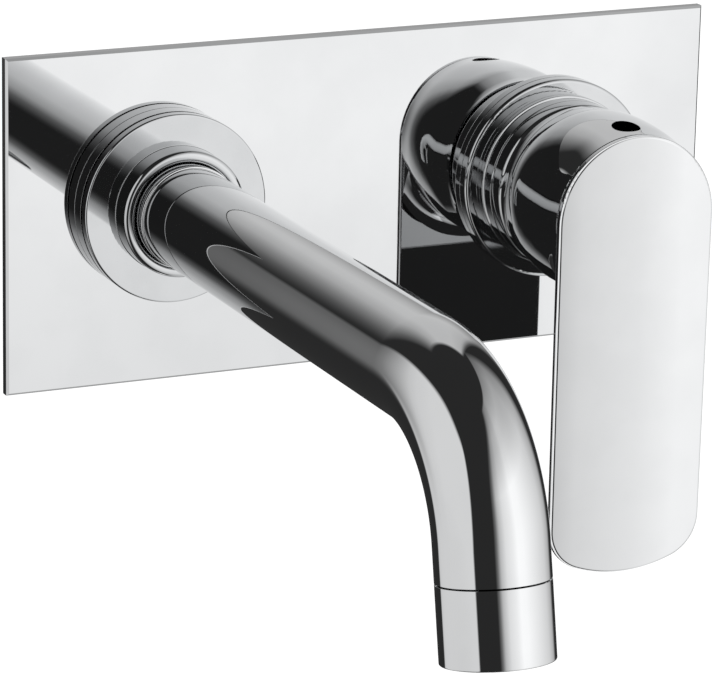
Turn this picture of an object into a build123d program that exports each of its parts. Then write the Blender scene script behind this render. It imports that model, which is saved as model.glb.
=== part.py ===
"""Wall mounted basin faucet: a concealed single lever valve, a wall plate, a lever handle and a spout.

Millimetres. X runs right along the wall, Y runs into the wall and Z is up. The origin is the middle of
the wall plate on the wall's face, so the plate and all that is seen lie at negative Y, and the valve
body lies at positive Y, inside the wall.
"""

from build123d import *
import math
import os

# Wall plate
PLATE_WIDTH = 200.0
PLATE_HEIGHT = 89.0
PLATE_THICK = 3.0
PLATE_CHAMFER = 0.6
GASKET_INSET = 4.0
GASKET_WIDTH = 4.0
GASKET_THICK = 1.0

# The two axes that stand out of the plate, as (x, z)
SPOUT_AXIS = (-56.5, 3.6)
HANDLE_AXIS = (55.6, 0.8)

# Spout
TUBE_R = 13.2
TUBE_WALL = 1.8
TUBE_REACH = 158.2
BEND_R = 36.9
BEND_ANGLE = 78.85
TUBE_TAIL = 8.4
SHOULDER_R = 14.2
FLANGE_R = 25.0
FLANGE_THICK = 8.0
COLLAR_R = 16.8
COLLAR_TOP = 14.7
SHOULDER_TOP = 18.5
SHOULDER_GAP = 0.3
FLANGE_SEAL_R = 21.0
GRUB_AT = 11.2
GRUB_R = 2.0
AERATOR_LENGTH = 18.2
AERATOR_SPIGOT = 6.0
AERATOR_BORE_R = 11.0
AERATOR_LEDGE = 1.4
INSERT_R = 10.8
INSERT_START = 3.0

# Nipple that carries the water from the body into the tube
NIPPLE_BORE_R = 6.0
NIPPLE_HEX_R = 12.5
NIPPLE_BACK_Y = 28.0
WASHER_Y = 12.5
NOSE_END = 27.0
SEAL_GROOVES = (12.0, 20.0)
SEAL_GROOVE_WIDTH = 2.0
SEAL_GROOVE_R = 9.6

# Handle
ROSE_R = 27.3
ROSE_THICK = 3.5
ROSE_SEAL_R = 24.6
BONNET_FOOT_R = 23.2
BONNET_R = 22.8
BONNET_TOP = 15.6
BONNET_EDGE = 13.8
BONNET_GROOVES = (5.2, 9.2)
HUB_START = 16.2
HUB_BULGE_R = 24.2
HUB_BULGE_AT = 29.0
LEVER_R = 22.4
LEVER_FACE = 49.6
LEVER_THICK = 2.2
LEVER_DROP = 96.7
LEVER_FOOT_HALF = 22.1
LEVER_CORNER_R = 12.0
SCREW_AT = 41.5
SCREW_R = 2.5
SCREW_TOP = 12.0
SCREW_HOLE_R = 3.8
STEM_HALF = 4.0
STEM_END = 45.5

# Cartridge
PIVOT_Y = -1.0
CAVITY_R = 28.2
CARTRIDGE_R = 17.3
NECK_R = 12.4
NECK_BORE_R = 10.6
CHAMBER_R = 15.0
THROAT_Y = -9.0
SHOULDER_Y = -4.0
CHAMBER_Y = 3.0
PIN_R = 1.5
GUIDE_GAP = 0.05
TAIL_ARM = 10.0
BALL_R = 3.3
DISC_R = 10.0
DISC_FACE_Y = 18.5
DISC_THICK = 3.0
BASE_Y = 26.0
FLOOR_Y = 30.5
PORT_OFFSET = 7.5
PORT_DROP = 4.5
PORT_R = 3.0
PORT_SEAL_R = 4.2
PORT_SEAL_THICK = 1.4

# Valve body in the wall
POT_R = 21.0
POT_FRONT_Y = -10.5
BODY_BACK_Y = 50.0
DUCT_Y = 40.0
DUCT_Z = 5.5
DUCT_R = 9.0
BOSS_R = 13.0
BOSS_FRONT_Y = 14.0
G_HALF_BORE_R = 9.3
INLET_SPREAD = 19.0
INLET_FOOT_Z = -46.0
INLET_THREAD = 14.0
FILTER_SEAT_R = 8.6
INLET_BORE_R = 5.5
LUG_X = (-26.0, 18.0)
LUG_SPACING_Z = 28.0
LUG_HOLE_R = 2.75
LUG_THICK = 4.0
LUG_R = 7.0

FRONT = -PLATE_THICK
TUBE_BORE_R = TUBE_R - TUBE_WALL
INLET_Y = DUCT_Y - 3.0
INLET_X = (HANDLE_AXIS[0] - INLET_SPREAD, HANDLE_AXIS[0] + INLET_SPREAD)


def out(height):
    """Y of a point that stands this far in front of the plate."""
    return FRONT - height


def turned(corners, axis, radii=None):
    """A solid turned about the Y direction line through axis, from (radius, y) corners."""
    if radii is None:
        line = Polyline(*corners, close=True)
    else:
        line = FilletPolyline(*corners, radius=radii, close=True)
    solid = revolve(make_face(line), Axis.Y)
    return Pos(axis[0], 0, axis[1]) * solid


def ring(inner, outer, y_front, y_back, axis):
    """A plain ring, or a disc where inner is nothing."""
    corners = [(inner, y_front), (outer, y_front), (outer, y_back), (inner, y_back)]
    return turned(corners, axis)


def rod_y(radius, y_front, y_back, x, z):
    """A round rod along Y."""
    return ring(0, radius, y_front, y_back, (x, z))


def rod_z(radius, z_low, z_high, x, y):
    """A round rod along Z."""
    return Pos(x, y, (z_low + z_high) / 2) * Cylinder(radius, z_high - z_low)


def rod_x(radius, x_low, x_high, y, z):
    """A round rod along X."""
    return Pos((x_low + x_high) / 2, y, z) * Rot(0, 90, 0) * Cylinder(radius, x_high - x_low)


def block(x_span, y_span, z_span):
    """A box between two limits on each axis."""
    centre = [(low + high) / 2 for low, high in (x_span, y_span, z_span)]
    size = [high - low for low, high in (x_span, y_span, z_span)]
    return Pos(*centre) * Box(*size)


def o_ring(major, minor, y, axis):
    """A round seal lying across the Y direction."""
    return Pos(axis[0], y, axis[1]) * Rot(90, 0, 0) * Torus(major, minor)


def around(axis, half, y_span, z_low, z_high):
    """A box centred on an axis in X, with its Z limits counted from that axis."""
    return block((axis[0] - half, axis[0] + half), y_span, (axis[1] + z_low, axis[1] + z_high))


def wall_plate():
    """The flat cover plate, with its two holes and the gasket's groove in its back."""
    half_x, half_z = PLATE_WIDTH / 2, PLATE_HEIGHT / 2
    plate = block((-half_x, half_x), (FRONT, 0), (-half_z, half_z))
    front_edges = plate.faces().sort_by(Axis.Y)[0].edges()
    plate = chamfer(front_edges, PLATE_CHAMFER)
    plate -= rod_y(POT_R + 1, FRONT - 1, 1, *HANDLE_AXIS)
    plate -= rod_y(TUBE_R + 1.8, FRONT - 1, 1, *SPOUT_AXIS)
    return plate - gasket_frame()


def gasket_frame():
    """The rectangle that the gasket fills."""
    half_x = PLATE_WIDTH / 2 - GASKET_INSET
    half_z = PLATE_HEIGHT / 2 - GASKET_INSET
    outer = block((-half_x, half_x), (-GASKET_THICK, 0), (-half_z, half_z))
    half_x -= GASKET_WIDTH
    half_z -= GASKET_WIDTH
    return outer - block((-half_x, half_x), (-GASKET_THICK - 1, 1), (-half_z, half_z))


def spout_path():
    """The spout's centre line: out from the wall, over the bend and down to the seam."""
    x, z = SPOUT_AXIS
    start = (x, out(1.0), z)
    bend_start = (x, out(TUBE_REACH), z)
    angle = math.radians(BEND_ANGLE)
    bend_end = (x, out(TUBE_REACH + BEND_R * math.sin(angle)), z - BEND_R * (1 - math.cos(angle)))
    seam = (x, bend_end[1] - TUBE_TAIL * math.cos(angle), bend_end[2] - TUBE_TAIL * math.sin(angle))
    straight = Line(start, bend_start)
    bend = TangentArc(bend_start, bend_end, tangent=(0, -1, 0))
    tail = Line(bend_end, seam)
    return straight + bend + tail


def spout_end():
    """The plane of the seam between tube and aerator, its Z pointing the way the water leaves."""
    angle = math.radians(BEND_ANGLE)
    reach = TUBE_REACH + BEND_R * math.sin(angle) + TUBE_TAIL * math.cos(angle)
    drop = BEND_R * (1 - math.cos(angle)) + TUBE_TAIL * math.sin(angle)
    seam = (SPOUT_AXIS[0], out(reach), SPOUT_AXIS[1] - drop)
    return Plane(origin=seam, x_dir=(1, 0, 0), z_dir=(0, -math.cos(angle), -math.sin(angle)))


def along_spout(solid, start=0.0):
    """Places a solid made about Z, from z = 0, at a distance beyond the seam."""
    return spout_end() * Pos(0, 0, start) * solid


def pipe(inner, outer, length):
    """A short pipe standing on the XY plane."""
    base = Cylinder(outer, length, align=(Align.CENTER, Align.CENTER, Align.MIN))
    return base - Cylinder(inner, length, align=(Align.CENTER, Align.CENTER, Align.MIN))


def spout_tube():
    """The bent tube with the shoulder that stops it at the flange's collar."""
    section = Plane(origin=(SPOUT_AXIS[0], out(1.0), SPOUT_AXIS[1]), z_dir=(0, -1, 0))
    outside = sweep(section * Circle(TUBE_R), path=spout_path())
    inside = sweep(section * Circle(TUBE_BORE_R), path=spout_path())
    top, foot = out(SHOULDER_TOP), out(COLLAR_TOP + 0.6)
    shoulder = [
        (TUBE_R - 1, top),
        (TUBE_R, top),
        (SHOULDER_R, top + 1.0),
        (SHOULDER_R, foot),
        (TUBE_R - 1, foot),
    ]
    return outside + turned(shoulder, SPOUT_AXIS) - inside


def spout_flange():
    """The round flange at the wall, one piece with its raised collar."""
    bore = TUBE_R + 0.15
    lip_r = SHOULDER_R + SHOULDER_GAP
    lip = out(COLLAR_TOP - 1.2)
    corners = [
        (bore, out(0)),
        (FLANGE_R, out(0)),
        (FLANGE_R, out(FLANGE_THICK)),
        (COLLAR_R, out(FLANGE_THICK)),
        (COLLAR_R, out(COLLAR_TOP)),
        (lip_r, out(COLLAR_TOP)),
        (lip_r, lip),
        (bore, lip),
    ]
    flange = turned(corners, SPOUT_AXIS, radii=[0, 0.3, 0.9, 0.8, 1.2, 0.3, 0, 0])
    flange -= ring(FLANGE_SEAL_R - 1, FLANGE_SEAL_R + 1, out(1.6), out(-1), SPOUT_AXIS)
    x, z = SPOUT_AXIS
    return flange - rod_z(GRUB_R, z - COLLAR_R - 1, z - TUBE_R + 0.5, x, out(GRUB_AT))


def flange_o_ring():
    return o_ring(FLANGE_SEAL_R, 0.8, out(0.8), SPOUT_AXIS)


def flange_grub_screw():
    """The small screw under the collar that locks the flange to the tube."""
    x, z = SPOUT_AXIS
    foot = z - COLLAR_R + 0.8
    screw = rod_z(GRUB_R - 0.05, foot, z - TUBE_R, x, out(GRUB_AT))
    socket = extrude(RegularPolygon(1.0, 6), 1.6, both=True)
    return screw - Pos(x, out(GRUB_AT), foot + 0.8) * socket


def spout_connector():
    """The brass nipple: screwed into the body's boss, sealed in the tube by two rings."""
    nose = TUBE_BORE_R - 0.1
    thread_r = G_HALF_BORE_R - 0.05
    corners = [
        (NIPPLE_BORE_R, NIPPLE_BACK_Y),
        (thread_r, NIPPLE_BACK_Y),
        (thread_r, WASHER_Y),
        (NIPPLE_HEX_R, WASHER_Y),
        (NIPPLE_HEX_R, 4.0),
        (nose, 4.0),
    ]
    for start in SEAL_GROOVES:
        end = start + SEAL_GROOVE_WIDTH
        corners += [(nose, out(start)), (SEAL_GROOVE_R, out(start))]
        corners += [(SEAL_GROOVE_R, out(end)), (nose, out(end))]
    corners += [(nose, out(NOSE_END)), (nose - 1.5, out(NOSE_END + 2)), (NIPPLE_BORE_R, out(NOSE_END + 2))]
    return turned(corners, SPOUT_AXIS)


def connector_o_rings():
    middles = [start + SEAL_GROOVE_WIDTH / 2 for start in SEAL_GROOVES]
    return [o_ring(SEAL_GROOVE_R + 0.9, 0.85, out(height), SPOUT_AXIS) for height in middles]


def connector_washer():
    return ring(G_HALF_BORE_R + 0.2, NIPPLE_HEX_R - 0.2, WASHER_Y, BOSS_FRONT_Y, SPOUT_AXIS)


def aerator_housing():
    """The chromed end piece: a threaded spigot inside the tube and a plain skirt below the seam."""
    spigot_r = TUBE_BORE_R - 0.1
    neck_r = 9.6
    ledge = AERATOR_LENGTH - AERATOR_LEDGE
    corners = [
        (neck_r, -AERATOR_SPIGOT),
        (spigot_r, -AERATOR_SPIGOT),
        (spigot_r, 0.35),
        (TUBE_R - 0.45, 0.35),
        (TUBE_R, 0.8),
        (TUBE_R, AERATOR_LENGTH),
        (TUBE_R - 1.6, AERATOR_LENGTH),
        (TUBE_R - 1.6, ledge),
        (AERATOR_BORE_R, ledge),
        (AERATOR_BORE_R, 2.0),
        (neck_r, 2.0),
    ]
    face = make_face(Polyline(*[(r, 0, h) for r, h in corners], close=True))
    return along_spout(revolve(face, Axis.Z))


def aerator_washer():
    return along_spout(pipe(8.6, TUBE_BORE_R - 0.2, 1.6), -AERATOR_SPIGOT - 1.6)


def aerator_screen():
    """The fine strainer plate that sits on top of the insert."""
    thick = 0.8
    hole_r = 0.6
    plate = pipe(1.2, INSERT_R, thick)
    for count, radius in ((6, 3.2), (12, 5.6), (18, 8.0)):
        plate -= PolarLocations(radius, count) * Cylinder(hole_r, 4)
    return along_spout(plate, INSERT_START - thick - 0.1)


def aerator_insert():
    """The plastic insert with the honeycomb that the water leaves through."""
    length = AERATOR_LENGTH - AERATOR_LEDGE - 2.0
    grid_depth = 4.0
    upright = (Align.CENTER, Align.CENTER, Align.MIN)
    insert = Cylinder(INSERT_R, length, align=upright)
    insert -= Cylinder(9.2, length - grid_depth, align=upright)
    cell = extrude(RegularPolygon(1.0, 6), 6, both=True)
    cells = Pos(0, 0, length - 2) * HexLocations(1.25, 7, 7) * cell
    inside = [one for one in cells if math.hypot(one.center().X, one.center().Y) < 7.6]
    return along_spout(insert - inside, INSERT_START)


def handle_rose():
    """The thin ring that covers the plate's large hole."""
    bore = POT_R + 0.4
    corners = [(bore, out(0)), (ROSE_R, out(0)), (ROSE_R, out(ROSE_THICK)), (bore, out(ROSE_THICK))]
    rose = turned(corners, HANDLE_AXIS, radii=[0, 0.2, 0.9, 0])
    return rose - ring(ROSE_SEAL_R - 0.8, ROSE_SEAL_R + 0.8, out(1.2), out(-1), HANDLE_AXIS)


def rose_seal():
    return o_ring(ROSE_SEAL_R, 0.6, out(0.6), HANDLE_AXIS)


def bonnet_cover():
    """The cover that screws over the body's neck: a foot, two fine grooves and a chamfered front."""
    bore = POT_R + 0.2
    neck_r = 17.5
    groove_r = BONNET_R - 0.5
    sphere_gap = 0.35
    rim_r = math.sqrt((CAVITY_R - sphere_gap) ** 2 - (out(BONNET_TOP) - PIVOT_Y) ** 2)
    corners = [(bore, out(ROSE_THICK)), (BONNET_FOOT_R, out(ROSE_THICK))]
    above = BONNET_FOOT_R
    for start in BONNET_GROOVES:
        corners += [(above, out(start)), (groove_r, out(start + 0.3))]
        corners += [(groove_r, out(start + 0.7)), (BONNET_R, out(start + 1.0))]
        above = BONNET_R
    corners += [
        (BONNET_R, out(BONNET_EDGE)),
        (rim_r, out(BONNET_TOP)),
        (neck_r, out(BONNET_TOP)),
        (neck_r, out(BONNET_TOP - 1.6)),
        (bore, out(12.5)),
    ]
    return turned(corners, HANDLE_AXIS)


def hub_shell():
    """The barrel shaped hub, open at the back with a round cavity about the lifting pivot."""
    front = out(LEVER_FACE - LEVER_THICK)
    back = out(HUB_START)
    side_start = (BONNET_R, out(HUB_START + 1.2))
    side_end = (LEVER_R + 0.05, front)
    side = Spline(
        side_start,
        (BONNET_R + 0.35, out(20.4)),
        (HUB_BULGE_R - 0.25, out(24.6)),
        (HUB_BULGE_R, out(HUB_BULGE_AT)),
        (HUB_BULGE_R - 0.75, out(40.6)),
        side_end,
        tangents=((0, -1), (-0.12, -1)),
    )
    rest = Polyline(side_end, (0, front), (0, back), (BONNET_R, back), side_start)
    hub = revolve(make_face(side + rest), Axis.Y)
    hub = Pos(HANDLE_AXIS[0], 0, HANDLE_AXIS[1]) * hub
    return hub - Pos(HANDLE_AXIS[0], PIVOT_Y, HANDLE_AXIS[1]) * Sphere(CAVITY_R)


def lever_blade():
    """The flat lever: a round head, slightly tapered sides and a shallow round foot."""
    foot_arc = 40.0
    sag = foot_arc - math.sqrt(foot_arc ** 2 - LEVER_FOOT_HALF ** 2)
    corner_z = sag - LEVER_DROP
    foot_left, foot_right = (-LEVER_FOOT_HALF, corner_z), (LEVER_FOOT_HALF, corner_z)
    top = ThreePointArc((-LEVER_R, 0), (0, LEVER_R), (LEVER_R, 0))
    right = Line((LEVER_R, 0), foot_right)
    foot = ThreePointArc(foot_right, (0, -LEVER_DROP), foot_left)
    left = Line(foot_left, (-LEVER_R, 0))
    outline = make_face(top + right + foot + left)
    outline = fillet(outline.vertices().sort_by(Axis.Y)[:2], LEVER_CORNER_R)
    back = Plane(
        origin=(HANDLE_AXIS[0], out(LEVER_FACE - LEVER_THICK), HANDLE_AXIS[1]),
        x_dir=(1, 0, 0),
        z_dir=(0, -1, 0),
    )
    blade = extrude(back * outline, LEVER_THICK)
    blade = fillet(blade.faces().sort_by(Axis.Y)[0].edges(), 0.7)
    return fillet(blade.faces().sort_by(Axis.Y)[-1].edges(), 0.5)


def hub_fairing():
    """The hollow fairing that joins the hub's underside to the lever's back."""
    back = out(LEVER_FACE - LEVER_THICK)
    inner, reach = LEVER_R - 2.0, 6.5
    start, end = (LEVER_R + reach, back), (LEVER_R, back + reach)
    bow = reach * (1 - math.cos(math.pi / 4))
    line = Polyline((inner, back + reach), (inner, back), start)
    line += ThreePointArc(start, (LEVER_R + bow, back + bow), end)
    section = make_face(line + Line(end, (inner, back + reach)))
    x, z = HANDLE_AXIS
    collar = Pos(x, 0, z) * revolve(section, Axis.Y)
    half = LEVER_R - 0.6
    return collar & block((x - half, x + half), (-60, 0), (z - 60, z - 3))


def stem_socket():
    """The square hole that the stem fills."""
    fit = STEM_HALF + 0.05
    return around(HANDLE_AXIS, fit, (out(STEM_END + 0.1), 0), -fit, fit)


def handle():
    """Hub and lever in one casting, cored behind, with the set screw's hole in its top."""
    x, z = HANDLE_AXIS
    body = hub_shell() + lever_blade() + hub_fairing()
    core = ring(9.5, LEVER_R - 3.0, out(44.0), PIVOT_Y, HANDLE_AXIS)
    core -= around(HANDLE_AXIS, 5.0, (out(47.0), out(36.0)), 0, 24)
    body -= core
    body -= stem_socket()
    body -= rod_z(SCREW_R + 0.05, z + STEM_HALF, z + SCREW_TOP + 2, x, out(SCREW_AT))
    return body - rod_z(SCREW_HOLE_R, z + SCREW_TOP + 1, z + 30, x, out(SCREW_AT))


def handle_set_screw():
    """The headless screw that clamps the handle on the stem's flat."""
    x, z = HANDLE_AXIS
    screw = rod_z(SCREW_R, z + STEM_HALF + 0.06, z + SCREW_TOP, x, out(SCREW_AT))
    socket = extrude(RegularPolygon(1.25, 6), 2.5, both=True)
    return screw - Pos(x, out(SCREW_AT), z + SCREW_TOP) * socket


def lever_stem():
    """The square stem, its pin hole, and the thin tail whose ball drives the disc carrier."""
    x, z = HANDLE_AXIS
    tail_start = 3.0
    ball_y = PIVOT_Y + TAIL_ARM
    bar = around(HANDLE_AXIS, STEM_HALF, (out(STEM_END), tail_start), -STEM_HALF, STEM_HALF)
    bar = chamfer(bar.edges().filter_by(Axis.Y), 0.5)
    stem = bar + rod_y(2.2, tail_start, ball_y, x, z)
    stem += Pos(x, ball_y, z) * Sphere(BALL_R)
    return stem - rod_x(PIN_R + 0.05, x - 10, x + 10, PIVOT_Y, z)


def lever_pin():
    """The pin that the stem tilts on, held at both ends in the guide."""
    x, z = HANDLE_AXIS
    return rod_x(PIN_R, x - 9.5, x + 9.5, PIVOT_Y, z)


def swivel_guide():
    """The turning guide: a neck in the cartridge's throat and a flange in its chamber."""
    x, z = HANDLE_AXIS
    flange_y = CHAMBER_Y + 0.3
    slot_half = STEM_HALF + 0.35
    guide = rod_y(NECK_BORE_R - GUIDE_GAP, THROAT_Y + 0.4, flange_y, x, z)
    guide += rod_y(CHAMBER_R - 2 * GUIDE_GAP, flange_y, 11.5, x, z)
    guide -= around(HANDLE_AXIS, slot_half, (THROAT_Y - 1, 6.0), -7.4, 8.8)
    guide -= around(HANDLE_AXIS, 6.2, (4.6, 13), -11.0, 6.4)
    return guide - rod_x(PIN_R, x - 9.7, x + 9.7, PIVOT_Y, z)


def disc_carrier():
    """The carrier that the ball slides up and down, with the moving disc on its back."""
    x, z = HANDLE_AXIS
    half, slot = 5.7, 3.75
    carrier = around(HANDLE_AXIS, half, (6.5, 12.2), -half, half)
    carrier += rod_y(DISC_R, 12.0, DISC_FACE_Y - DISC_THICK, x, z)
    return carrier - around(HANDLE_AXIS, slot, (0, 12.7), -slot, slot)


def moving_disc():
    """The ceramic disc that slides, with the blind pocket that joins the ports below it."""
    x, z = HANDLE_AXIS
    disc = rod_y(DISC_R, DISC_FACE_Y - DISC_THICK, DISC_FACE_Y, x, z)
    pocket_depth = DISC_THICK / 2
    return disc - rod_y(5.6, DISC_FACE_Y - pocket_depth, DISC_FACE_Y + 1, x, z + 2.0)


def ports(y_front, y_back, radius):
    """Rods for the two inlets and the outlet of the cartridge."""
    x, z = HANDLE_AXIS
    low = z - PORT_DROP
    places = [(x - PORT_OFFSET, low), (x + PORT_OFFSET, low), (x, z + PORT_OFFSET)]
    return [rod_y(radius, y_front, y_back, *place) for place in places]


def fixed_disc():
    """The ceramic disc with the three ports, still in the cartridge's base."""
    disc = rod_y(CHAMBER_R - 0.1, DISC_FACE_Y + 0.1, DISC_FACE_Y + 3.5, *HANDLE_AXIS)
    return disc - ports(0, DUCT_Y, PORT_R)


def cartridge_base():
    """The plastic base that closes the cartridge and carries the port seals."""
    spigot = rod_y(CHAMBER_R - 0.1, DISC_FACE_Y + 3.5, BASE_Y, *HANDLE_AXIS)
    base = spigot + rod_y(CARTRIDGE_R, BASE_Y, FLOOR_Y - 0.3, *HANDLE_AXIS)
    base -= ports(0, DUCT_Y, PORT_R)
    return base - ports(FLOOR_Y - PORT_SEAL_THICK, DUCT_Y, PORT_SEAL_R)


def port_seals():
    """One rubber ring for each port, squeezed between base and body."""
    outer = ports(FLOOR_Y - PORT_SEAL_THICK, FLOOR_Y, PORT_SEAL_R - 0.1)
    bores = ports(0, DUCT_Y, PORT_R)
    return [seal - bore for seal, bore in zip(outer, bores)]


def cartridge_housing():
    """The cartridge's shell: a wide chamber, a shoulder for the nut and a narrow throat."""
    corners = [
        (NECK_BORE_R, THROAT_Y),
        (NECK_R, THROAT_Y),
        (NECK_R, SHOULDER_Y),
        (CARTRIDGE_R, SHOULDER_Y),
        (CARTRIDGE_R, BASE_Y),
        (CHAMBER_R, BASE_Y),
        (CHAMBER_R, CHAMBER_Y),
        (NECK_BORE_R, CHAMBER_Y),
    ]
    return turned(corners, HANDLE_AXIS)


def cartridge_nut():
    """The brass nut that holds the cartridge down, with four notches for its key."""
    front = POT_FRONT_Y + 0.3
    nut = ring(NECK_R + 0.3, CARTRIDGE_R, front, SHOULDER_Y, HANDLE_AXIS)
    key = block((-20, 20), (front - 1, front + 2), (-1.6, 1.6))
    x, z = HANDLE_AXIS
    for turn in (0, 90):
        nut -= Pos(x, 0, z) * Rot(0, turn, 0) * key
    return nut


def lugs():
    """Two upright straps behind the duct, each with two screw holes."""
    front = BODY_BACK_Y - LUG_THICK
    ends = (DUCT_Z - LUG_SPACING_Z / 2, DUCT_Z + LUG_SPACING_Z / 2)
    straps = []
    for x in LUG_X:
        strap = block((x - LUG_R, x + LUG_R), (front, BODY_BACK_Y), ends)
        for z in ends:
            strap += rod_y(LUG_R, front, BODY_BACK_Y, x, z)
        straps.append(strap)
    return straps


def lug_places():
    """The four screw places, as (x, z)."""
    return [(x, DUCT_Z + side * LUG_SPACING_Z / 2) for x in LUG_X for side in (-1, 1)]


def valve_body():
    """The brass body in the wall: cartridge pot, duct, spout boss, two inlets below and lugs."""
    hx, hz = HANDLE_AXIS
    sx, sz = SPOUT_AXIS
    body = rod_y(POT_R, POT_FRONT_Y, BODY_BACK_Y, hx, hz)
    body += rod_x(DUCT_R, sx, hx, DUCT_Y, DUCT_Z)
    body += rod_y(BOSS_R, BOSS_FRONT_Y, BODY_BACK_Y, sx, sz)
    for x in INLET_X:
        body += rod_z(BOSS_R, INLET_FOOT_Z, hz - 6, x, INLET_Y)
    body += lugs()
    body -= rod_y(CARTRIDGE_R + 0.2, POT_FRONT_Y - 1, FLOOR_Y, hx, hz)
    body -= ports(FLOOR_Y - 1, DUCT_Y - 2, PORT_R)
    body -= rod_x(5.0, sx, hx, DUCT_Y, DUCT_Z)
    body -= rod_y(G_HALF_BORE_R, BOSS_FRONT_Y - 1, NIPPLE_BACK_Y + 2, sx, sz)
    body -= rod_y(INLET_BORE_R, NIPPLE_BACK_Y + 1, DUCT_Y, sx, sz)
    thread_end = INLET_FOOT_Z + INLET_THREAD
    cross_z = hz - 16
    for x, side in zip(INLET_X, (-1, 1)):
        body -= rod_z(G_HALF_BORE_R, INLET_FOOT_Z - 1, thread_end, x, INLET_Y)
        body -= rod_z(FILTER_SEAT_R, thread_end - 1, thread_end + 2, x, INLET_Y)
        body -= rod_z(INLET_BORE_R, INLET_FOOT_Z, hz - 12, x, INLET_Y)
        port_x = hx + side * PORT_OFFSET
        body -= rod_z(PORT_R, cross_z, hz - PORT_DROP, port_x, INLET_Y)
        body -= rod_x(PORT_R, min(x, port_x), max(x, port_x), INLET_Y, cross_z)
    for place in lug_places():
        body -= rod_y(LUG_HOLE_R, BODY_BACK_Y - 10, BODY_BACK_Y + 10, *place)
    return body


def inlet_filters():
    """A strainer above each inlet's thread: a rim crossed by fine bars."""
    rim_r, bar_half, overlap = 7.0, 0.3, 0.8
    foot = INLET_FOOT_Z + INLET_THREAD + 0.3
    height = (foot, foot + 1.4)
    filters = []
    for x in INLET_X:
        strainer = rod_z(FILTER_SEAT_R - 0.1, *height, x, INLET_Y)
        strainer -= rod_z(rim_r, *height, x, INLET_Y)
        for offset in (-4.0, 0.0, 4.0):
            reach = math.sqrt((rim_r + overlap) ** 2 - offset ** 2)
            across = (offset - bar_half, offset + bar_half)
            long_way = (-reach, reach)
            strainer += Pos(x, INLET_Y, 0) * block(long_way, across, height)
            strainer += Pos(x, INLET_Y, 0) * block(across, long_way, height)
        filters.append(strainer)
    return filters


PARTS = {
    "wall_plate": wall_plate,
    "plate_gasket": gasket_frame,
    "valve_body": valve_body,
    "inlet_filters": inlet_filters,
    "cartridge_housing": cartridge_housing,
    "cartridge_base": cartridge_base,
    "port_seals": port_seals,
    "fixed_disc": fixed_disc,
    "moving_disc": moving_disc,
    "disc_carrier": disc_carrier,
    "swivel_guide": swivel_guide,
    "lever_pin": lever_pin,
    "lever_stem": lever_stem,
    "cartridge_nut": cartridge_nut,
    "handle_rose": handle_rose,
    "rose_seal": rose_seal,
    "bonnet_cover": bonnet_cover,
    "handle": handle,
    "handle_set_screw": handle_set_screw,
    "spout_connector": spout_connector,
    "connector_o_rings": connector_o_rings,
    "connector_washer": connector_washer,
    "spout_flange": spout_flange,
    "flange_o_ring": flange_o_ring,
    "flange_grub_screw": flange_grub_screw,
    "spout_tube": spout_tube,
    "aerator_housing": aerator_housing,
    "aerator_washer": aerator_washer,
    "aerator_screen": aerator_screen,
    "aerator_insert": aerator_insert,
}


def main():
    os.makedirs("parts", exist_ok=True)
    for name, make in PARTS.items():
        made = make()
        if isinstance(made, list):
            made = Compound(children=made)
        export_step(made, f"parts/{name}.step")
        print(f"{name:20s} {made.volume / 1000:8.2f} cm3")


main()
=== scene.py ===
# %% [markdown]
# # A wall mounted basin faucet, finished in Blender
# The measured model of the faucet is loaded first and stays where it is: its nodes are the fixed frame.
# This lesson adds what a measured model can't show: rounded edges that catch the light, bright polished
# chromium, and the brass, rubber, ceramic and plastic behind it.

# %% Load the frame
import bpy
import bmesh
import math
from mathutils import Matrix, Vector


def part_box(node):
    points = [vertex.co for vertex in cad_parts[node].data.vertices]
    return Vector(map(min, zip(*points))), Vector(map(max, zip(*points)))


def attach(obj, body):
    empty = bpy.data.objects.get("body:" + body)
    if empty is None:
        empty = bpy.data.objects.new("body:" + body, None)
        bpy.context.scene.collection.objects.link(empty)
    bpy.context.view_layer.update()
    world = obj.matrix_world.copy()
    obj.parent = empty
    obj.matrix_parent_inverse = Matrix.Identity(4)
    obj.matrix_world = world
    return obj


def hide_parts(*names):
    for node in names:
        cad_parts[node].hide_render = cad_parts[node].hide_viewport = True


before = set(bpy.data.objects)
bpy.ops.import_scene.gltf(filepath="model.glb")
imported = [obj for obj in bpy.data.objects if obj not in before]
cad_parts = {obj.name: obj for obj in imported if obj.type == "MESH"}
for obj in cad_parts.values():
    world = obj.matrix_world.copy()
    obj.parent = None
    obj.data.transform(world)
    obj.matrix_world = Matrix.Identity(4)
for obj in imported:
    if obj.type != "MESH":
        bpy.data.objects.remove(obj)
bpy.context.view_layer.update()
print("nodes in the frame:", len(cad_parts))

# %% [markdown]
# ## Shader sums
# A finish is mostly arithmetic on masks. Blender has a node for every sum, but a long chain of nodes is
# hard to read. One small class wraps a socket and gives it the usual signs, so a mask is written as plain
# arithmetic and the Math nodes are added behind it.

# %% Sockets as values
class Value:
    """A socket of a node tree that can stand in ordinary sums."""

    def __init__(self, graph, socket):
        self.graph = graph
        self.socket = socket

    def math(self, operation, *terms):
        return self.graph.node("ShaderNodeMath", {"operation": operation}, dict(enumerate(terms)))

    def __add__(self, other):
        return self.math("ADD", self, other)

    def __radd__(self, other):
        return self.math("ADD", other, self)

    def __sub__(self, other):
        return self.math("SUBTRACT", self, other)

    def __rsub__(self, other):
        return self.math("SUBTRACT", other, self)

    def __mul__(self, other):
        return self.math("MULTIPLY", self, other)

    def __rmul__(self, other):
        return self.math("MULTIPLY", other, self)

    def between(self, low, high):
        """Rises smoothly from 0 at low to 1 at high."""
        inputs = {"Value": self, "From Min": low, "From Max": high}
        return self.graph.node("ShaderNodeMapRange", {"interpolation_type": "SMOOTHSTEP"}, inputs)


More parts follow.
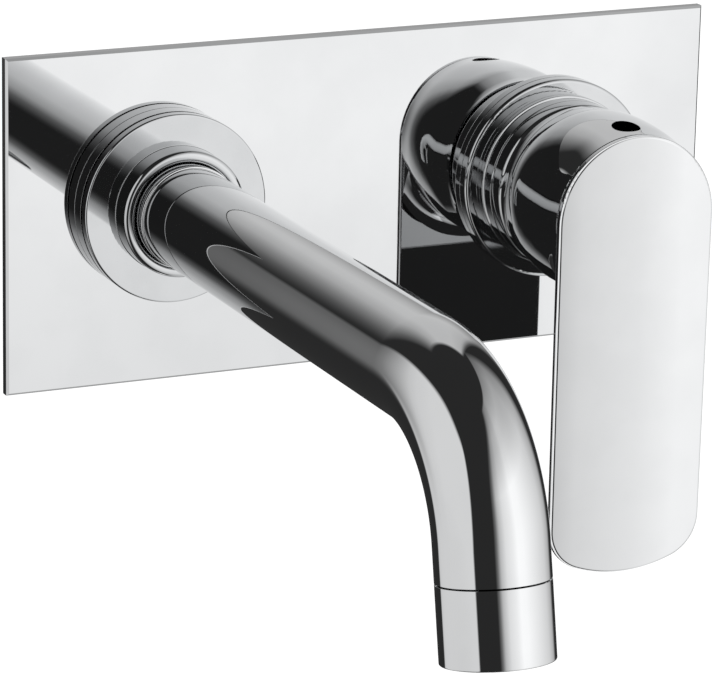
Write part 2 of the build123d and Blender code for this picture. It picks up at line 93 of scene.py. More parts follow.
reflected = [name for name in vars(Value) if name.startswith("__r")]
print("a plain number may come first in:", ", ".join(reflected))

# %% [markdown]
# ## One way to add a node
# Every other node comes from one method. It takes the node's type, then its settings, such as the stops of
# a colour ramp, and then what goes into its sockets, which may be numbers or other sockets.

# %% The node graph
class Graph:
    """A node tree that is filled from the code's sums."""

    def __init__(self, tree):
        self.tree = tree
        tree.nodes.clear()

    def node(self, kind, settings=None, inputs=None, output=0):
        made = self.tree.nodes.new(kind)
        for name, setting in (settings or {}).items():
            if name == "stops":
                self.fill_ramp(made.color_ramp, setting)
            else:
                setattr(made, name, setting)
        for name, value in (inputs or {}).items():
            if isinstance(value, Value):
                self.tree.links.new(value.socket, made.inputs[name])
            else:
                made.inputs[name].default_value = value
        return Value(self, made.outputs[output]) if made.outputs else None

    def fill_ramp(self, ramp, stops):
        while len(ramp.elements) < len(stops):
            ramp.elements.new(0.5)
        for element, (place, colour) in zip(ramp.elements, stops):
            element.position = place
            element.color = (*colour, 1.0)

    def mix(self, factor, first, second):
        """A colour between two colours."""
        settings = {"data_type": "RGBA"}
        ends = [c if isinstance(c, Value) else (*c, 1.0) for c in (first, second)]
        inputs = {0: factor, 6: ends[0], 7: ends[1]}
        return self.node("ShaderNodeMix", settings, inputs, output=2)

    def place(self):
        """The place on the piece, in metres."""
        return self.node("ShaderNodeTexCoord", output="Object")

    def stretched(self, factors):
        """The place, multiplied along X, Y and Z."""
        return self.node("ShaderNodeVectorMath", {"operation": "MULTIPLY"}, {0: self.place(), 1: factors})

    def noise(self, scale, detail, vector=None):
        """A soft random pattern from 0 to 1, with features of about 1 / scale metres."""
        inputs = {"Vector": vector or self.place(), "Scale": scale, "Detail": detail}
        return self.node("ShaderNodeTexNoise", None, inputs, output="Fac")


print("methods of a graph:", ", ".join(name for name in vars(Graph) if "__" not in name))

# %% [markdown]
# ## The camera
# The view is from the left and a little above, with a long lens, so that the long spout isn't stretched.
# The camera is set by the place it stands at, the direction it looks in and a small roll.

# %% Camera
CAMERA_PLACE = Vector((-0.45126, -0.98407, 0.28188))
CAMERA_AIM = Vector((0.39966, 0.87127, -0.28487)).normalized()
CAMERA_ROLL = math.radians(1.21)
LENS = 213.1
SENSOR_WIDTH = 36.0

camera_data = bpy.data.cameras.new("camera")
camera_data.lens = LENS
camera_data.sensor_width = SENSOR_WIDTH
camera = bpy.data.objects.new("camera", camera_data)
bpy.context.scene.collection.objects.link(camera)
side = CAMERA_AIM.cross(Vector((0, 0, 1))).normalized()
up = side.cross(CAMERA_AIM)
right = math.cos(CAMERA_ROLL) * side + math.sin(CAMERA_ROLL) * up
up = right.cross(CAMERA_AIM)
turn = Matrix((right, up, -CAMERA_AIM)).transposed()
camera.matrix_world = Matrix.Translation(CAMERA_PLACE) @ turn.to_4x4()
bpy.context.scene.camera = camera
print("camera", [round(c, 3) for c in camera.location], "lens", LENS, "mm")

# %% [markdown]
# ## The picture's tones
# The AgX view that Blender starts with bends bright tones down to keep detail in a sunlit scene. A product on
# a white ground has no such range. The standard view keeps white ground white and black reflections black, as
# a catalogue does.

# %% Plain view
bpy.context.scene.view_settings.view_transform = "Standard"
print("view:", bpy.context.scene.view_settings.view_transform)

# %% [markdown]
# ## The studio
# Chrome has no colour of its own: it shows the room. A product studio for chrome is a dark room with a few
# large soft panels: here a broad one on the right, a flat one on the left and a dim one high up behind. The
# camera stands in the dark gap between the left and the right one. The room could be built from glowing
# sheets of mesh, but it is painted on the world by direction instead, so that every side of the faucet has
# the same clean reflections from any distance. A direction becomes two angles, and brightness is read off
# along each of them. Azimuth counts from the plate's right hand side toward the wall.

# %% Angles and brightness
def cosine_to(g, direction, azimuth, elevation):
    """The cosine between a direction and a fixed one, both angles in degrees."""
    around = math.radians(azimuth)
    above = math.radians(elevation)
    fixed = (math.cos(around) * math.cos(above), math.sin(around) * math.cos(above), math.sin(above))
    settings = {"operation": "DOT_PRODUCT"}
    return g.node("ShaderNodeVectorMath", settings, {0: direction, 1: fixed}, output="Value")


def profile(g, angle, span, stops):
    """Brightness along an angle in radians, from (degrees, brightness) stops."""
    place = angle * (1 / math.radians(2 * span)) + 0.5
    stops = [(0.5 + degrees / (2 * span), (level,) * 3) for degrees, level in stops]
    return g.node("ShaderNodeValToRGB", {"stops": stops}, {"Fac": place}, output="Color")


def panel(g, direction, centre, across, upward, strength, sag=0.0, corner=0.0):
    """A profile across times a profile upward. Sag arches the top, corner bends the sides."""
    ahead = cosine_to(g, direction, centre, 0)
    aside = cosine_to(g, direction, centre + 90, 0)
    turned = aside.math("ARCTAN2", aside, ahead)
    rising = aside.math("ARCSINE", cosine_to(g, direction, 0, 90))
    arched = rising + turned * turned * sag
    square = rising * rising
    bent = turned + square * square * corner
    return profile(g, bent, 180, across) * profile(g, arched, 90, upward) * strength


world = bpy.data.worlds.new("studio")
bpy.context.scene.world = world
world.use_nodes = True
g = Graph(world.node_tree)
direction = g.node("ShaderNodeTexCoord", output="Generated")
print("nodes in the new world:", len(world.node_tree.nodes))

# %% [markdown]
# ### The right panel
# The widest and brightest panel. It lights the flat faces and the right side of the spout. It falls off
# slowly to the right and much faster on the left, where its edge is the border of the dark band down the
# spout. Its stops are degrees from its own centre line, with the brightness there.

# %% Right panel
RIGHT_CENTRE = 300
RIGHT_STRENGTH = 1.7
RIGHT_ARCH = 0.1
RIGHT_CORNER = -0.35
RIGHT_ACROSS = [
    (-50, 0), (-45, 0.14), (-39, 0.48), (-28, 0.74), (-14, 0.86), (-4, 1), (8, 0.98), (35, 0.8),
    (62, 0.62), (80, 0.38), (87, 0.1), (90, 0),
]
RIGHT_UPWARD = [
    (-90, 0.65), (-45, 0.7), (-22, 0.88), (-5, 1), (30, 0.98), (42, 0.72), (50, 0.6), (57, 0.54),
    (60, 0.47), (64, 0.38), (68, 0.3), (70.5, 0.25), (71.5, 0),
]
right_light = panel(
    g, direction, RIGHT_CENTRE, RIGHT_ACROSS, RIGHT_UPWARD, RIGHT_STRENGTH, RIGHT_ARCH, RIGHT_CORNER
)
print("right panel spans", RIGHT_ACROSS[-1][0] - RIGHT_ACROSS[0][0], "degrees")

# %% [markdown]
# ### The left panel
# A fairly even panel with an arched top. Well below the horizon its far side, toward the wall, ends sharply.
# Higher up the light creeps on round the back and fades. So there are two of it, and one is blended into the
# other between 17 and 7 degrees below the horizon. The blend runs over the sine of the height.

# %% Left panel
LEFT_CENTRE = 175
LEFT_STRENGTH = 1.1
LEFT_ARCH = 0.57
LEFT_CORNER = 0.5
LEFT_SOFT_ACROSS = [
    (-78, 0), (-64, 0.08), (-58, 0.14), (-52, 0.27), (-44, 0.56), (-36, 0.85), (-30, 0.94), (-15, 1),
    (34, 1), (36, 0),
]
LEFT_SHARP_ACROSS = [(-55, 0), (-52, 0.84), (-44, 0.92), (-30, 0.98), (-15, 1), (34, 1), (36, 0)]
LEFT_UPWARD = [(-60, 0), (-30, 0.75), (-18, 0.93), (0, 1), (46, 1), (50, 0)]
BLEND_FROM, BLEND_TO = -0.3, -0.12


def left_panel(across):
    return panel(g, direction, LEFT_CENTRE, across, LEFT_UPWARD, LEFT_STRENGTH, LEFT_ARCH, LEFT_CORNER)


high = cosine_to(g, direction, 0, 90).between(BLEND_FROM, BLEND_TO)
left_soft = left_panel(LEFT_SOFT_ACROSS)
left_sharp = left_panel(LEFT_SHARP_ACROSS)
left_light = left_sharp + (left_soft - left_sharp) * high
print("left panel spans", LEFT_SOFT_ACROSS[-1][0] - LEFT_SOFT_ACROSS[0][0], "degrees")

# %% [markdown]
# ### The back panel and the room
# A dim panel high up behind the faucet draws the grey band along the top of the spout. The rest of the room
# is nearly black, but not quite, because a real studio always has a little stray light.

# %% Back panel and room
BACK_CENTRE = 68
BACK_STRENGTH = 0.8
BACK_ACROSS = [(-26, 0), (-22, 0.85), (-12, 1), (12, 1), (24, 0.76), (33, 0.42), (40, 0.18), (47, 0)]
BACK_UPWARD = [(-12, 0), (0, 0.2), (12, 0.55), (24, 1), (57, 1), (60, 0)]
STRAY_LIGHT = 0.036
WHITE = (1, 1, 1, 1)

back_light = panel(g, direction, BACK_CENTRE, BACK_ACROSS, BACK_UPWARD, BACK_STRENGTH)
room = STRAY_LIGHT + right_light + left_light + back_light
background = g.node("ShaderNodeBackground", None, {"Color": WHITE, "Strength": room})
g.node("ShaderNodeOutputWorld", None, {"Surface": background})
print("nodes in the room:", len(world.node_tree.nodes))

# %% [markdown]
# ## The floor
# A pale floor lies well below the faucet, because the faucet hangs on a wall and not on the floor. It is a
# clean white ground for the camera only: the chrome doesn't mirror it and it lights nothing, so it can't
# spoil the dark parts of the reflections.

# %% Floor
FLOOR_Z = -0.6
FLOOR_HALF = 30.0
FLOOR_GLOW = 1.1

floor_mesh = bpy.data.meshes.new("floor")
corners = [(x * FLOOR_HALF, y * FLOOR_HALF, FLOOR_Z) for x, y in ((-1, -1), (1, -1), (1, 1), (-1, 1))]
floor_mesh.from_pydata(corners, [], [(0, 1, 2, 3)])
floor = bpy.data.objects.new("floor", floor_mesh)
bpy.context.scene.collection.objects.link(floor)
floor_paint = bpy.data.materials.new("floor_paint")
floor_paint.use_nodes = True
g = Graph(floor_paint.node_tree)
glow = g.node("ShaderNodeEmission", None, {"Color": WHITE, "Strength": FLOOR_GLOW})
g.node("ShaderNodeOutputMaterial", None, {"Surface": glow})
floor_mesh.materials.append(floor_paint)
floor.visible_glossy = False
floor.visible_diffuse = False
floor.visible_shadow = False

# %% [markdown]
# ## Two soft lamps
# The brass, rubber and plastic behind the plate aren't mirrors, and the panels alone leave them dull. A large
# lamp from the front right and a second one from behind on the left give the matt parts a light side and a
# shaded side. Both are hidden from the chrome, which shows the panels only.

# %% Lamps
def soft_lamp(name, place, aim, size, power):
    lamp = bpy.data.lights.new(name, "AREA")
    lamp.size = size
    lamp.energy = power
    made = bpy.data.objects.new(name, lamp)
    bpy.context.scene.collection.objects.link(made)
    made.location = place
    made.rotation_mode = "QUATERNION"
    made.rotation_quaternion = (Vector(aim) - Vector(place)).to_track_quat("-Z", "Y")
    made.visible_glossy = False
    print(name, "lamp:", power, "W,", size, "m wide")


soft_lamp("key", place=(0.9, -1.1, 0.9), aim=(0, -0.05, 0), size=0.8, power=12.0)
soft_lamp("fill", place=(-1.0, 0.9, 0.7), aim=(0, 0, 0), size=1.0, power=15.0)

# %% [markdown]
# ## Materials
# Every finish ends in one principled shader. A new material starts with an empty node graph, and the same
# few lines connect its shader to the output.

# %% Start and end of a material
def new_material(name):
    material = bpy.data.materials.new(name)
    material.use_nodes = True
    return material, Graph(material.node_tree)


def close_material(g, inputs):
    shader = g.node("ShaderNodeBsdfPrincipled", None, inputs)
    g.node("ShaderNodeOutputMaterial", None, {"Surface": shader})


def bump(g, height, depth, strength=1.0):
    """A normal from a height between 0 and 1 that stands for a depth in metres."""
    return g.node("ShaderNodeBump", None, {"Strength": strength, "Distance": depth, "Height": height})


print("materials before the faucet's finishes:", len(bpy.data.materials))

# %% [markdown]
# ## Polished chromium
# Chromium plate is a mirror that gives back a little more than half of the light, with a faint cold tint.
# What keeps it from looking like a computer's mirror is very small: a slight waviness left by the polishing
# wheel, and a film of fingerprints and dried water that makes the gloss a little uneven. Both are noise, at
# the scale of a fingertip, so flat faces still mirror the room cleanly. On the wide plate a slow noise over
# the whole piece also darkens broad patches. That is painted shade, standing in for light falling off.

# %% Chromium
def chrome(name, painted_shade_depth=0.0, crown=None):
    material, g = new_material(name)
    film = g.noise(70.0, 4.0).between(0.35, 0.65)
    # The slow noise below is painted shade: it darkens broad patches of the piece, in place of light falling
    # off.
    painted_shade_patches = g.noise(9.0, 1.0).between(0.3, 0.7)
    film_and_painted_shade = film * 0.08 + painted_shade_patches * painted_shade_depth
    colour = g.mix(film_and_painted_shade, (0.556, 0.561, 0.566), (0.4, 0.405, 0.41))
    waves = bump(g, g.noise(30.0, 1.0), 0.00002)
    normal = crown(g, waves) if crown else waves
    inputs = {"Base Color": colour, "Metallic": 1.0, "Roughness": 0.008 + film * 0.015, "Normal": normal}
    close_material(g, inputs)
    return material


CHROME = chrome("polished_chrome")
# The plate's chrome gets this painted shade, in broad patches up to 0.45 of the way to the darker tone.
PLATE_CHROME = chrome("polished_chrome_plate", painted_shade_depth=0.45)
print("made", CHROME.name, "and", PLATE_CHROME.name)

# %% [markdown]
# ## The tone of the lever's face
# The lever's face is flat here, and a flat mirror under even light has one tone. The real face runs from grey
# at its left side to white at its right. A mesh that does this by its shape would have to fall away by over
# five millimetres and would spoil the flat outline, so the shape stays flat and only the shading turns. This
# is a trick of tone and not a true shape: it leans the face by up to 15 degrees, far more than a buffed face
# ever does. The height below falls with the square of the distance from a line near the lever's right edge,
# and it works on the face alone, which lies farther out than anything else on the handle.

# %% Chromium of the handle
CROWN_LINE = 0.018
CROWN_HEIGHT = -3.4
FACE_DEPTHS = (0.0001, 0.0004)

rose_low, rose_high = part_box("handle_rose")
HANDLE_AXIS = ((rose_low.x + rose_high.x) / 2, (rose_low.z + rose_high.z) / 2)
handle_low, handle_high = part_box("handle")
FACE_Y = handle_low.y


def coordinate(g, axis):
    return g.node("ShaderNodeSeparateXYZ", None, {"Vector": g.place()}, output=axis)


def lever_crown(g, waves):
    off_line = coordinate(g, "X") - (HANDLE_AXIS[0] + CROWN_LINE)
    on_face = 1.0 - coordinate(g, "Y").between(FACE_Y + FACE_DEPTHS[0], FACE_Y + FACE_DEPTHS[1])
    height = off_line * off_line * on_face * CROWN_HEIGHT
    inputs = {"Strength": 1.0, "Distance": 1.0, "Height": height, "Normal": waves}
    return g.node("ShaderNodeBump", None, inputs)


HANDLE_CHROME = chrome("polished_chrome_handle", crown=lever_crown)
print("handle axis", [round(v, 4) for v in HANDLE_AXIS], "lever face at y", round(FACE_Y, 4))

# %% [markdown]
# ## Turned chromium
# The flange, the ring and the bonnet are turned on a lathe before they are plated, and the plating keeps a
# trace of the tool: fine rings round the axis, too fine to see one by one. The metal looks a little darker
# and softer than the polished plate beside it. A wave of the distance from the axis makes the rings.

# %% Chromium over turned brass
RING_PITCH = 0.00025


def turned_chrome(name, x, z):
    material, g = new_material(name)
    ends = {0: g.stretched((1, 0, 1)), 1: (x, 0, z)}
    radius = g.node("ShaderNodeVectorMath", {"operation": "DISTANCE"}, ends, output="Value")
    rings = radius.math("SINE", radius * (2 * math.pi / RING_PITCH)) * 0.5 + 0.5
    film = g.noise(80.0, 4.0).between(0.35, 0.65)
    colour = g.mix(film, (0.448, 0.454, 0.46), (0.425, 0.431, 0.437))
    close_material(g, {
        "Base Color": colour,
        "Metallic": 1.0,
        "Roughness": 0.02 + film * 0.02 + rings * 0.006,
        "Normal": bump(g, rings, 0.0000004),
    })
    return material


spout_low, spout_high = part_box("spout_flange")
SPOUT_AXIS = ((spout_low.x + spout_high.x) / 2, (spout_low.z + spout_high.z) / 2)
print("spout axis", [round(v, 4) for v in SPOUT_AXIS])
CHROME_AT_SPOUT = turned_chrome("turned_chrome_at_spout", *SPOUT_AXIS)
CHROME_AT_HANDLE = turned_chrome("turned_chrome_at_handle", *HANDLE_AXIS)

# %% [markdown]
# ## Brass
# Two kinds of brass sit behind the plate. The valve body is cast in sand: its skin is matt, grainy and
# uneven in colour. Coarse grain makes the relief, and large soft patches of tarnish change both colour and
# gloss.

# %% Cast brass
def cast_brass():
    material, g = new_material("cast_brass")
    tarnish = g.noise(45.0, 5.0).between(0.38, 0.66)
    grain = g.noise(1400.0, 3.0)
    colour = g.mix(tarnish, (0.58, 0.41, 0.17), (0.3, 0.19, 0.075))
    close_material(g, {
        "Base Color": colour,
        "Metallic": 1.0,
        "Roughness": 0.42 + tarnish * 0.22 + grain * 0.1,
        "Normal": bump(g, grain, 0.00025, 0.7),
    })
    return material


CAST_BRASS = cast_brass()
print("made", CAST_BRASS.name)

# %% [markdown]
# The nut, the stem and the nipple are cut from bar: smooth, yellow and glossy, with tool marks running round
# them. A noise that is stretched across the axis and fine along it makes such marks. There is little patina.

# %% Machined brass
def machined_brass():
    material, g = new_material("machined_brass")
    marks = g.noise(6000.0, 2.0, g.stretched((0.05, 1, 0.05)))
    patina = g.noise(90.0, 4.0).between(0.45, 0.75)
    colour = g.mix(patina, (0.78, 0.57, 0.24), (0.55, 0.37, 0.14))
    close_material(g, {
        "Base Color": colour,
        "Metallic": 1.0,
        "Roughness": 0.18 + marks * 0.12 + patina * 0.12,
        "Normal": bump(g, marks, 0.00002, 0.5),
    })
    return material


MACHINED_BRASS = machined_brass()
print("made", MACHINED_BRASS.name)

# %% [markdown]
# ## Stainless steel
# The pin, the screws and the strainers are drawn or rolled steel. It is greyer and duller than chromium, with
# fine drawing lines and small dull spots where water has dried.

# %% Stainless steel
def stainless_steel():
    material, g = new_material("stainless_steel")
    lines = g.noise(5000.0, 2.0, g.stretched((1, 0.08, 1)))
    spots = g.noise(260.0, 4.0).between(0.55, 0.7)
    colour = g.mix(spots, (0.47, 0.465, 0.45), (0.3, 0.29, 0.27))
    close_material(g, {
        "Base Color": colour,
        "Metallic": 1.0,
        "Roughness": 0.22 + lines * 0.12 + spots * 0.2,
        "Normal": bump(g, lines, 0.00001, 0.5),
    })
    return material


STEEL = stainless_steel()
print("made", STEEL.name)

# %% [markdown]
# ## Rubber, fibre, plastic and ceramic
# The seals are black rubber with a fine matt bloom from the mould. The washer in the boss is red vulcanised
# fibre, a pressed paper in which short threads show. The cartridge is moulded in acetal, a milky plastic with
# flow marks, and the aerator in a grey one. The two discs are lapped ceramic, white, dense and nearly
# polished, with very faint clouds. They differ in colour, gloss and grain, so one recipe with a few settings
# is enough: a base tone, a second tone in soft patches, and a grain that is felt in gloss and in relief.

# %% The materials that aren't metal
def moulded(name, first, second, patch_scale, grain_scale, roughness, relief, coat=0.0, stretch=(1, 1, 1)):
    material, g = new_material(name)
    place = g.stretched(stretch)
    patches = g.noise(patch_scale, 4.0, place).between(0.35, 0.65)
    grain = g.noise(grain_scale, 2.0, place)
    close_material(g, {
        "Base Color": g.mix(patches, first, second),
        "Roughness": roughness + grain * 0.14 - patches * 0.05,
        "Coat Weight": patches * coat,
        "Normal": bump(g, grain, relief, 0.8),
    })
    return material


RUBBER = moulded("black_rubber", (0.018, 0.018, 0.019), (0.034, 0.033, 0.032), 240, 2600, 0.62, 0.00006)
FIBRE = moulded("red_fibre", (0.27, 0.05, 0.03), (0.16, 0.03, 0.022), 500, 1800, 0.7, 0.0001, 0, (1, 3, 1))
ACETAL = moulded("acetal", (0.74, 0.73, 0.69), (0.62, 0.61, 0.57), 120, 1500, 0.36, 0.00002, 0.1, (1, 2.5, 1))
GREY_PLASTIC = moulded("grey_plastic", (0.3, 0.31, 0.32), (0.24, 0.25, 0.26), 200, 1700, 0.4, 0.00002, 0.1)
CERAMIC = moulded("ceramic", (0.83, 0.81, 0.77), (0.77, 0.75, 0.71), 150, 3000, 0.12, 0.000004, 0.4)
print("materials now:", len(bpy.data.materials))

# %% [markdown]
# ## Which piece is made of what
# Each node of the frame is dressed in the finish it has on the real faucet. A count at the end shows whether
# any node was left out.

# %% Dress the frame
FINISHES = {
    CHROME: ["spout_tube", "aerator_housing"],
    PLATE_CHROME: ["wall_plate"],
    HANDLE_CHROME: ["handle"],
    CHROME_AT_SPOUT: ["spout_flange"],
    CHROME_AT_HANDLE: ["handle_rose", "bonnet_cover"],
    CAST_BRASS: ["valve_body"],
    MACHINED_BRASS: ["cartridge_nut", "lever_stem", "spout_connector"],
    STEEL: ["lever_pin", "handle_set_screw", "flange_grub_screw", "aerator_screen", "inlet_filters"],
    RUBBER: ["plate_gasket", "rose_seal", "flange_o_ring", "connector_o_rings", "port_seals",
             "aerator_washer"],
    FIBRE: ["connector_washer"],
    ACETAL: ["cartridge_housing", "cartridge_base", "disc_carrier", "swivel_guide"],
    GREY_PLASTIC: ["aerator_insert"],
    CERAMIC: ["fixed_disc", "moving_disc"],
}


def dress(piece, material):
    """Puts one material on a whole piece."""
    piece.data.materials.clear()
    piece.data.materials.append(material)


dressed = set()
for material, nodes in FINISHES.items():
    for node in nodes:
        dress(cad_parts[node], material)
        dressed.add(node)
print("dressed:", len(dressed), "left out:", sorted(set(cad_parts) - dressed))

# %% [markdown]
# ## Round pieces from outlines
# The flange, the bonnet and the end ring are turned pieces, and the spout is a bent tube, so all of them are
# rings strung on a line. An outline gives the radius at each distance along the line. On real plated metal no
# edge is sharp: the plate and the buffing wheel round every one, and those small radii are what draws the
# fine light and dark lines. So each corner that shows is swapped for a short arc. The plate, the ring round
# the handle and the handle itself are right as they are in the frame, and stay.

# %% Soft outlines
MM = 0.001
ARC_STEPS = 6


def soft_outline(corners):
    """A closed outline from corners of (distance, radius, rounding), in millimetres."""
    outline = []
    for index, (distance, radius, rounding) in enumerate(corners):
        here = Vector((distance, radius))
        if not rounding:
            outline.append(here)
            continue
        back = (Vector(corners[index - 1][:2]) - here).normalized()
        ahead = (Vector(corners[(index + 1) % len(corners)][:2]) - here).normalized()
        half = back.angle(ahead) / 2
        centre = here + (back + ahead).normalized() * (rounding / math.sin(half))
        start = here + back * (rounding / math.tan(half))
        end = here + ahead * (rounding / math.tan(half))
        for step in range(ARC_STEPS + 1):
            spoke = start.lerp(end, step / ARC_STEPS) - centre
            outline.append(centre + spoke.normalized() * rounding)
    return outline


square = [(0, 1, 0.2), (4, 1, 0.2), (4, 5, 0.2), (0, 5, 0.2)]
print("a square of 4 soft corners has", len(soft_outline(square)), "points")

# %% [markdown]
# ### The skin
# Each point of the outline becomes a ring of points round the line, and each two neighbouring rings are
# joined by four sided faces. The last ring is joined to the first, so the skin is closed and has a real
# inside, as the tube has.

# %% Skins of rings
RING_STEPS = 256


def ring_round(mesh, place, direction, radius):
    """A ring of points round a line that runs in the YZ plane."""
    up = direction.cross(Vector((1, 0, 0)))
    ring = []
    for step in range(RING_STEPS):
        angle = 2 * math.pi * step / RING_STEPS
        spoke = Vector((math.cos(angle), 0, 0)) + up * math.sin(angle)
        ring.append(mesh.verts.new(place + spoke * radius))
    return ring


def add_mesh(name, mesh):
    """Turns a bmesh into an object of the scene."""
    data = bpy.data.meshes.new(name)
    mesh.to_mesh(data)
    mesh.free()
    made = bpy.data.objects.new(name, data)
    bpy.context.scene.collection.objects.link(made)
    return made


def skin(name, outline, line):
    """A closed skin. Line gives the place and direction at each distance."""
    mesh = bmesh.new()
    rings = [ring_round(mesh, *line(distance), radius * MM) for distance, radius in outline]
    for first, second in zip(rings, rings[1:] + rings[:1]):
        for step in range(RING_STEPS):
            after = (step + 1) % RING_STEPS
            face = mesh.faces.new((first[step], first[after], second[after], second[step]))
            face.smooth = True
    bmesh.ops.recalc_face_normals(mesh, faces=mesh.faces)
    return add_mesh(name, mesh)


print("points in each ring:", RING_STEPS)

# %% [markdown]
# ### Flat faces that stay flat
# A skin's long flat faces share their border points with the narrow faces of the arcs. If both count the
# same, the flat face looks bent near its border. Weighting each face by its area keeps flats flat. The same
# helper puts the finished piece in the place of its plain node.

# %% Put a round piece in place
FULL_WEIGHT = 100


def finish_round(made, node, material, body="fixed"):
    dress(made, material)
    weighted = made.modifiers.new("weighted_normals", "WEIGHTED_NORMAL")
    weighted.mode = "FACE_AREA"
    weighted.weight = FULL_WEIGHT
    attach(made, body)
    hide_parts(node)
    print(made.name, "stands for", node, "with", len(made.data.polygons), "faces")


PLATE_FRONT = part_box("wall_plate")[0].y
print("front of the plate at y", round(PLATE_FRONT, 4))

# %% [markdown]
# ## The spout's line
# The spout runs straight out from the plate, bends down over an arc, and ends in a short straight tail. One
# function gives the place and the direction at any distance along it. It goes on past the seam, so that the
# end ring can be built on the same line.

# %% Centre line of the spout
STRAIGHT = 158.2
BEND_RADIUS = 36.9
BEND_ANGLE = math.radians(78.85)
BEND_LENGTH = BEND_RADIUS * BEND_ANGLE
TAIL = 8.4
SEAM = STRAIGHT + BEND_LENGTH + TAIL


def along_spout(distance):
    """The place and direction at a distance in millimetres from the plate's front."""
    turned = min(max(distance - STRAIGHT, 0) / BEND_RADIUS, BEND_ANGLE)
    beyond = max(distance - STRAIGHT - BEND_LENGTH, 0)
    reach = min(distance, STRAIGHT) + BEND_RADIUS * math.sin(turned) + beyond * math.cos(turned)
    drop = BEND_RADIUS * (1 - math.cos(turned)) + beyond * math.sin(turned)
    place = Vector((SPOUT_AXIS[0], PLATE_FRONT - reach * MM, SPOUT_AXIS[1] - drop * MM))
    return place, Vector((0, -math.cos(turned), -math.sin(turned)))


print("length to the seam:", round(SEAM, 1), "mm, seam at", [round(c, 4) for c in along_spout(SEAM)[0]])

# %% [markdown]
# ## The spout
# The spout is a brass tube, bent once and buffed until the bend shows no flat or ripple, then plated. Inside
# the flange it is a little thicker, and that sleeve ends in a low step just outside the collar. At the other
# end the edge is only just broken, so that the seam to the end ring stays a hair line. The straight needs few
# rings, but the bend needs many, because chrome shows every facet.

# %% Spout tube
TUBE_RADIUS = 13.2
TUBE_WALL = 1.8
TUBE_BORE = TUBE_RADIUS - TUBE_WALL
TUBE_START = 1
SLEEVE_RADIUS = 13.6
SLEEVE_START, SLEEVE_END = 9, 18.0
PLAIN_START = 30
SEAM_EDGE = 0.08
STRAIGHT_RINGS = 12
BEND_RINGS = 96


def spout_outline():
    outline = soft_outline([
        (TUBE_START, TUBE_BORE, 0),
        (TUBE_START, TUBE_RADIUS, 0),
        (SLEEVE_START, TUBE_RADIUS, 0),
        (SLEEVE_START, SLEEVE_RADIUS, 0),
        (SLEEVE_END, SLEEVE_RADIUS, 0.3),
        (SLEEVE_END + 0.1, TUBE_RADIUS, 0.1),
        (PLAIN_START, TUBE_RADIUS, 0),
    ])
    straight_step = (STRAIGHT - PLAIN_START) / STRAIGHT_RINGS
    stations = [PLAIN_START + straight_step * (ring + 1) for ring in range(STRAIGHT_RINGS)]
    stations += [STRAIGHT + BEND_LENGTH * (ring + 1) / BEND_RINGS for ring in range(BEND_RINGS)]
    outline += [Vector((station, TUBE_RADIUS)) for station in stations]
    end = [(SEAM - 3, TUBE_BORE, 0), (SEAM - 3, TUBE_RADIUS, 0), (SEAM, TUBE_RADIUS, SEAM_EDGE)]
    outline += soft_outline(end)[1:]
    outline.append(Vector((SEAM, TUBE_BORE)))
    outline += [Vector((station, TUBE_BORE)) for station in reversed(stations)]
    return outline


finish_round(skin("spout", spout_outline(), along_spout), "spout_tube", CHROME)

# %% [markdown]
# ## The flange and its collar
# The flange is one turned piece: a thick disc with a deep groove round its side, and a collar that rises from
# it and ends in a rounded lip. The groove is deep for its width, so light is lost between its walls and it
# reads as a black line. Inside the lip a narrow recess round the tube does the same. In the back a groove
# holds the round seal.

# %% Flange
FLANGE_RADIUS = 24.97
FLANGE_FRONT = 8.0
FLANGE_BORE = 13.62
GROOVE_START, GROOVE_END, GROOVE_FLOOR = 4.3, 5.3, 22.1
SEAL_INNER, SEAL_OUTER, SEAL_DEPTH = 20, 22, 1.6
COLLAR_RADIUS = 16.8
COLLAR_FRONT = 14.6
RECESS_RADIUS = 14.25
RECESS_FLOOR = 13.9
FLANGE_CORNERS = [
    (0, FLANGE_BORE, 0),
    (0, SEAL_INNER, 0), (SEAL_DEPTH, SEAL_INNER, 0), (SEAL_DEPTH, SEAL_OUTER, 0), (0, SEAL_OUTER, 0),
    (0, FLANGE_RADIUS, 0.2),
    (GROOVE_START, FLANGE_RADIUS, 0.05), (GROOVE_START, GROOVE_FLOOR, 0),
    (GROOVE_END, GROOVE_FLOOR, 0), (GROOVE_END, FLANGE_RADIUS, 0.05),
    (FLANGE_FRONT, FLANGE_RADIUS, 0.5),
    (FLANGE_FRONT, COLLAR_RADIUS, 0.15), (COLLAR_FRONT, COLLAR_RADIUS - 0.1, 1.2),
    (COLLAR_FRONT, RECESS_RADIUS + 0.05, 0.6), (RECESS_FLOOR, RECESS_RADIUS, 0.1),
    (RECESS_FLOOR, FLANGE_BORE, 0),
]
flange = skin("flange", soft_outline(FLANGE_CORNERS), along_spout)
print("flange:", len(flange.data.vertices), "points")

# %% [markdown]
# ### The screw's hole
# A small hole under the collar lets the locking screw in. It can't be turned, so it is cut: a plain cylinder
# is taken away from the flange with a boolean, the result is kept as the new mesh, and the cylinder is
# thrown away.

# %% Hole for the locking screw
HOLE_RADIUS = 2
HOLE_LENGTH = 7
HOLE_BELOW_AXIS = 15.5
HOLE_SIDES = 48


def cut_hole(piece, place):
    """Cuts the round hole along Z into a piece, centred on a place."""
    mesh = bmesh.new()
    radius = HOLE_RADIUS * MM
    bmesh.ops.create_cone(mesh, cap_ends=True, segments=HOLE_SIDES, radius1=radius, radius2=radius,
                          depth=HOLE_LENGTH * MM, matrix=Matrix.Translation(place))
    cutter = add_mesh("cutter", mesh)
    cut = piece.modifiers.new("hole", "BOOLEAN")
    cut.object = cutter
    graph = bpy.context.evaluated_depsgraph_get()
    piece.data = bpy.data.meshes.new_from_object(piece.evaluated_get(graph))
    piece.modifiers.clear()
    bpy.data.objects.remove(cutter)


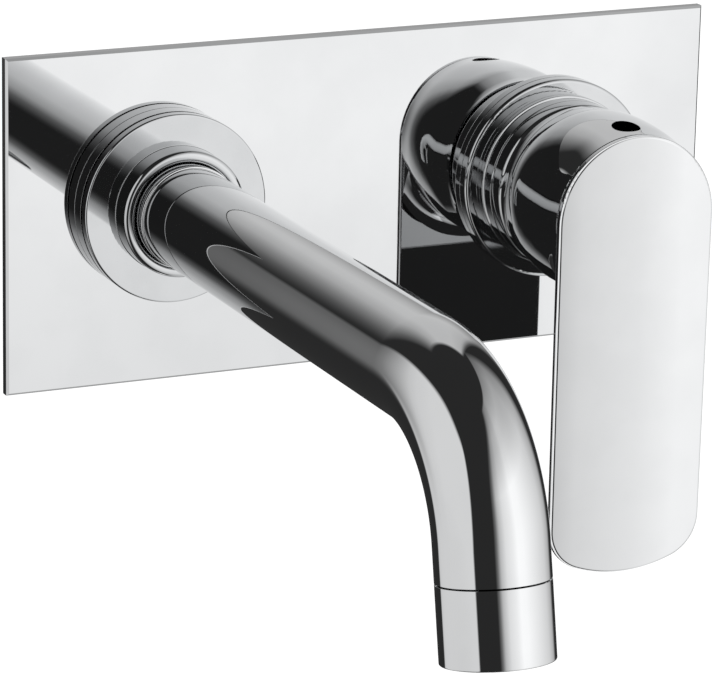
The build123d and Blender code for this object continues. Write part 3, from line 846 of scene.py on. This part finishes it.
screw_low, screw_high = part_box("flange_grub_screw")
screw_middle = (screw_low + screw_high) / 2
cut_hole(flange, Vector((SPOUT_AXIS[0], screw_middle.y, SPOUT_AXIS[1] - HOLE_BELOW_AXIS * MM)))
finish_round(flange, "spout_flange", CHROME_AT_SPOUT)

# %% [markdown]
# ## The end ring
# The ring that holds the aerator screws into the tube. Its skirt carries on the tube's line, its edges are
# broken, and its foot is turned flat with a ledge that hides the aerator's rim.

# %% End ring
SEAM_GAP = 0.14
RING_LENGTH = 18.2
LEDGE = 16.8
SKIRT_BORE = 11.6
AERATOR_BORE = 11.0
SHELF = 2.0
SPIGOT_LENGTH, SPIGOT_RADIUS = 6, 11.3
NECK_RADIUS = 9.6
RING_CORNERS = [
    (-SPIGOT_LENGTH, NECK_RADIUS, 0), (-SPIGOT_LENGTH, SPIGOT_RADIUS, 0.2), (SEAM_GAP, SPIGOT_RADIUS, 0),
    (SEAM_GAP, TUBE_RADIUS, SEAM_EDGE), (RING_LENGTH, TUBE_RADIUS, 0.35), (RING_LENGTH, SKIRT_BORE, 0.15),
    (LEDGE, SKIRT_BORE, 0), (LEDGE, AERATOR_BORE, 0.1), (SHELF, AERATOR_BORE, 0), (SHELF, NECK_RADIUS, 0),
]


def beyond_seam(distance):
    return along_spout(SEAM + distance)


finish_round(skin("end_ring", soft_outline(RING_CORNERS), beyond_seam), "aerator_housing", CHROME)

# %% [markdown]
# ## The bonnet
# Behind the handle a bonnet screws over the valve's neck. Two fine grooves run round it, and its front edge
# is rounded away to give the tilting hub its room.

# %% Bonnet
BONNET_BACK, BONNET_FRONT = 3.5, 15.2
BONNET_BORE = 21.2
FOOT_RADIUS = 23.2
BONNET_RADIUS = 22.8
NECK_OPENING = 17.5
BONNET_CORNERS = [
    (12.5, BONNET_BORE, 0), (BONNET_BACK, BONNET_BORE, 0), (BONNET_BACK, FOOT_RADIUS, 0.1),
    (5.2, FOOT_RADIUS, 0.25), (5.4, 22.4, 0.1), (5.8, 22.4, 0.1), (6.0, BONNET_RADIUS, 0.2),
    (9.3, BONNET_RADIUS, 0.2), (9.5, 22.5, 0.08), (9.8, 22.5, 0.08), (10.0, BONNET_RADIUS, 0.2),
    (BONNET_FRONT, BONNET_RADIUS - 0.05, 1.35), (BONNET_FRONT, NECK_OPENING, 0), (14.0, NECK_OPENING, 0),
]


def along_handle(distance):
    return Vector((HANDLE_AXIS[0], PLATE_FRONT - distance * MM, HANDLE_AXIS[1])), Vector((0, -1, 0))


finish_round(skin("bonnet", soft_outline(BONNET_CORNERS), along_handle), "bonnet_cover", CHROME_AT_HANDLE)

# %% [markdown]
